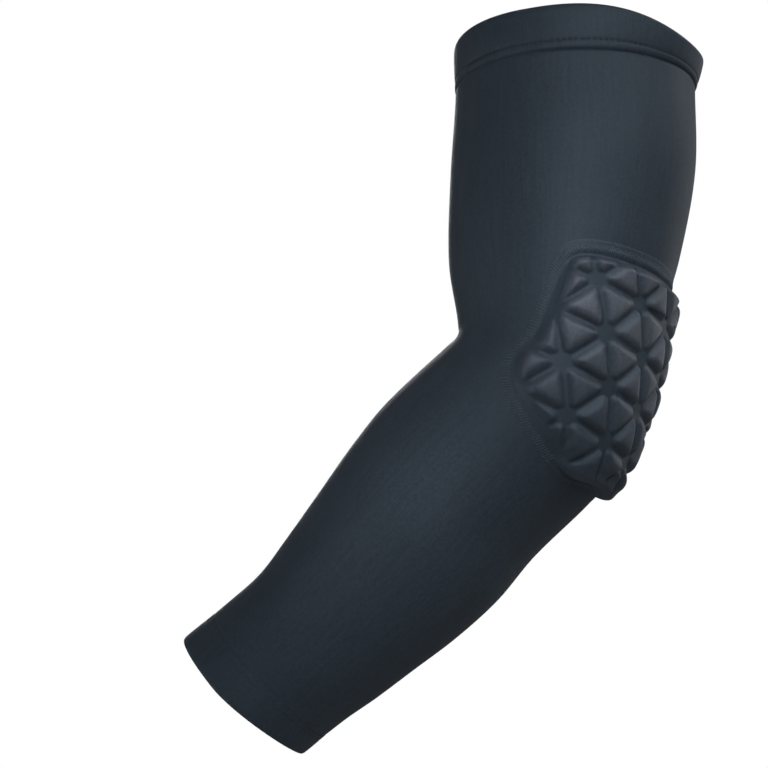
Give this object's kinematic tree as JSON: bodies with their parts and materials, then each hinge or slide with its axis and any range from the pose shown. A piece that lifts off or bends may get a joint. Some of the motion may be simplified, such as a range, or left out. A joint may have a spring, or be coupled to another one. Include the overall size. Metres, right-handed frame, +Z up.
{
  "type": "padded arm sleeve",
  "caption": "Knit compression sleeve for a half-bent arm, open at both ends, with turned hems and a sewn-on elbow pad of raised triangular cushions.",
  "frame": {"origin": "middle of the elbow, where the axis of the upper arm crosses the axis of the forearm", "axes": "+Z up along the upper arm, +X toward the back of the elbow and the pad, the forearm runs down toward -X, Y from side to side"},
  "size_m": [0.2499, 0.109, 0.32],
  "materials": {
    "knit": "fine dark grey-blue stretch knit with a faint sheen",
    "hem": "the same knit, turned double and stitched",
    "pad": "the same knit stretched over moulded foam cushions"
  },
  "bodies": {
    "root": {"sleeve_body": "knit", "upper_hem": "hem", "wrist_hem": "hem", "elbow_pad": "pad"}
  },
  "joints": []
}
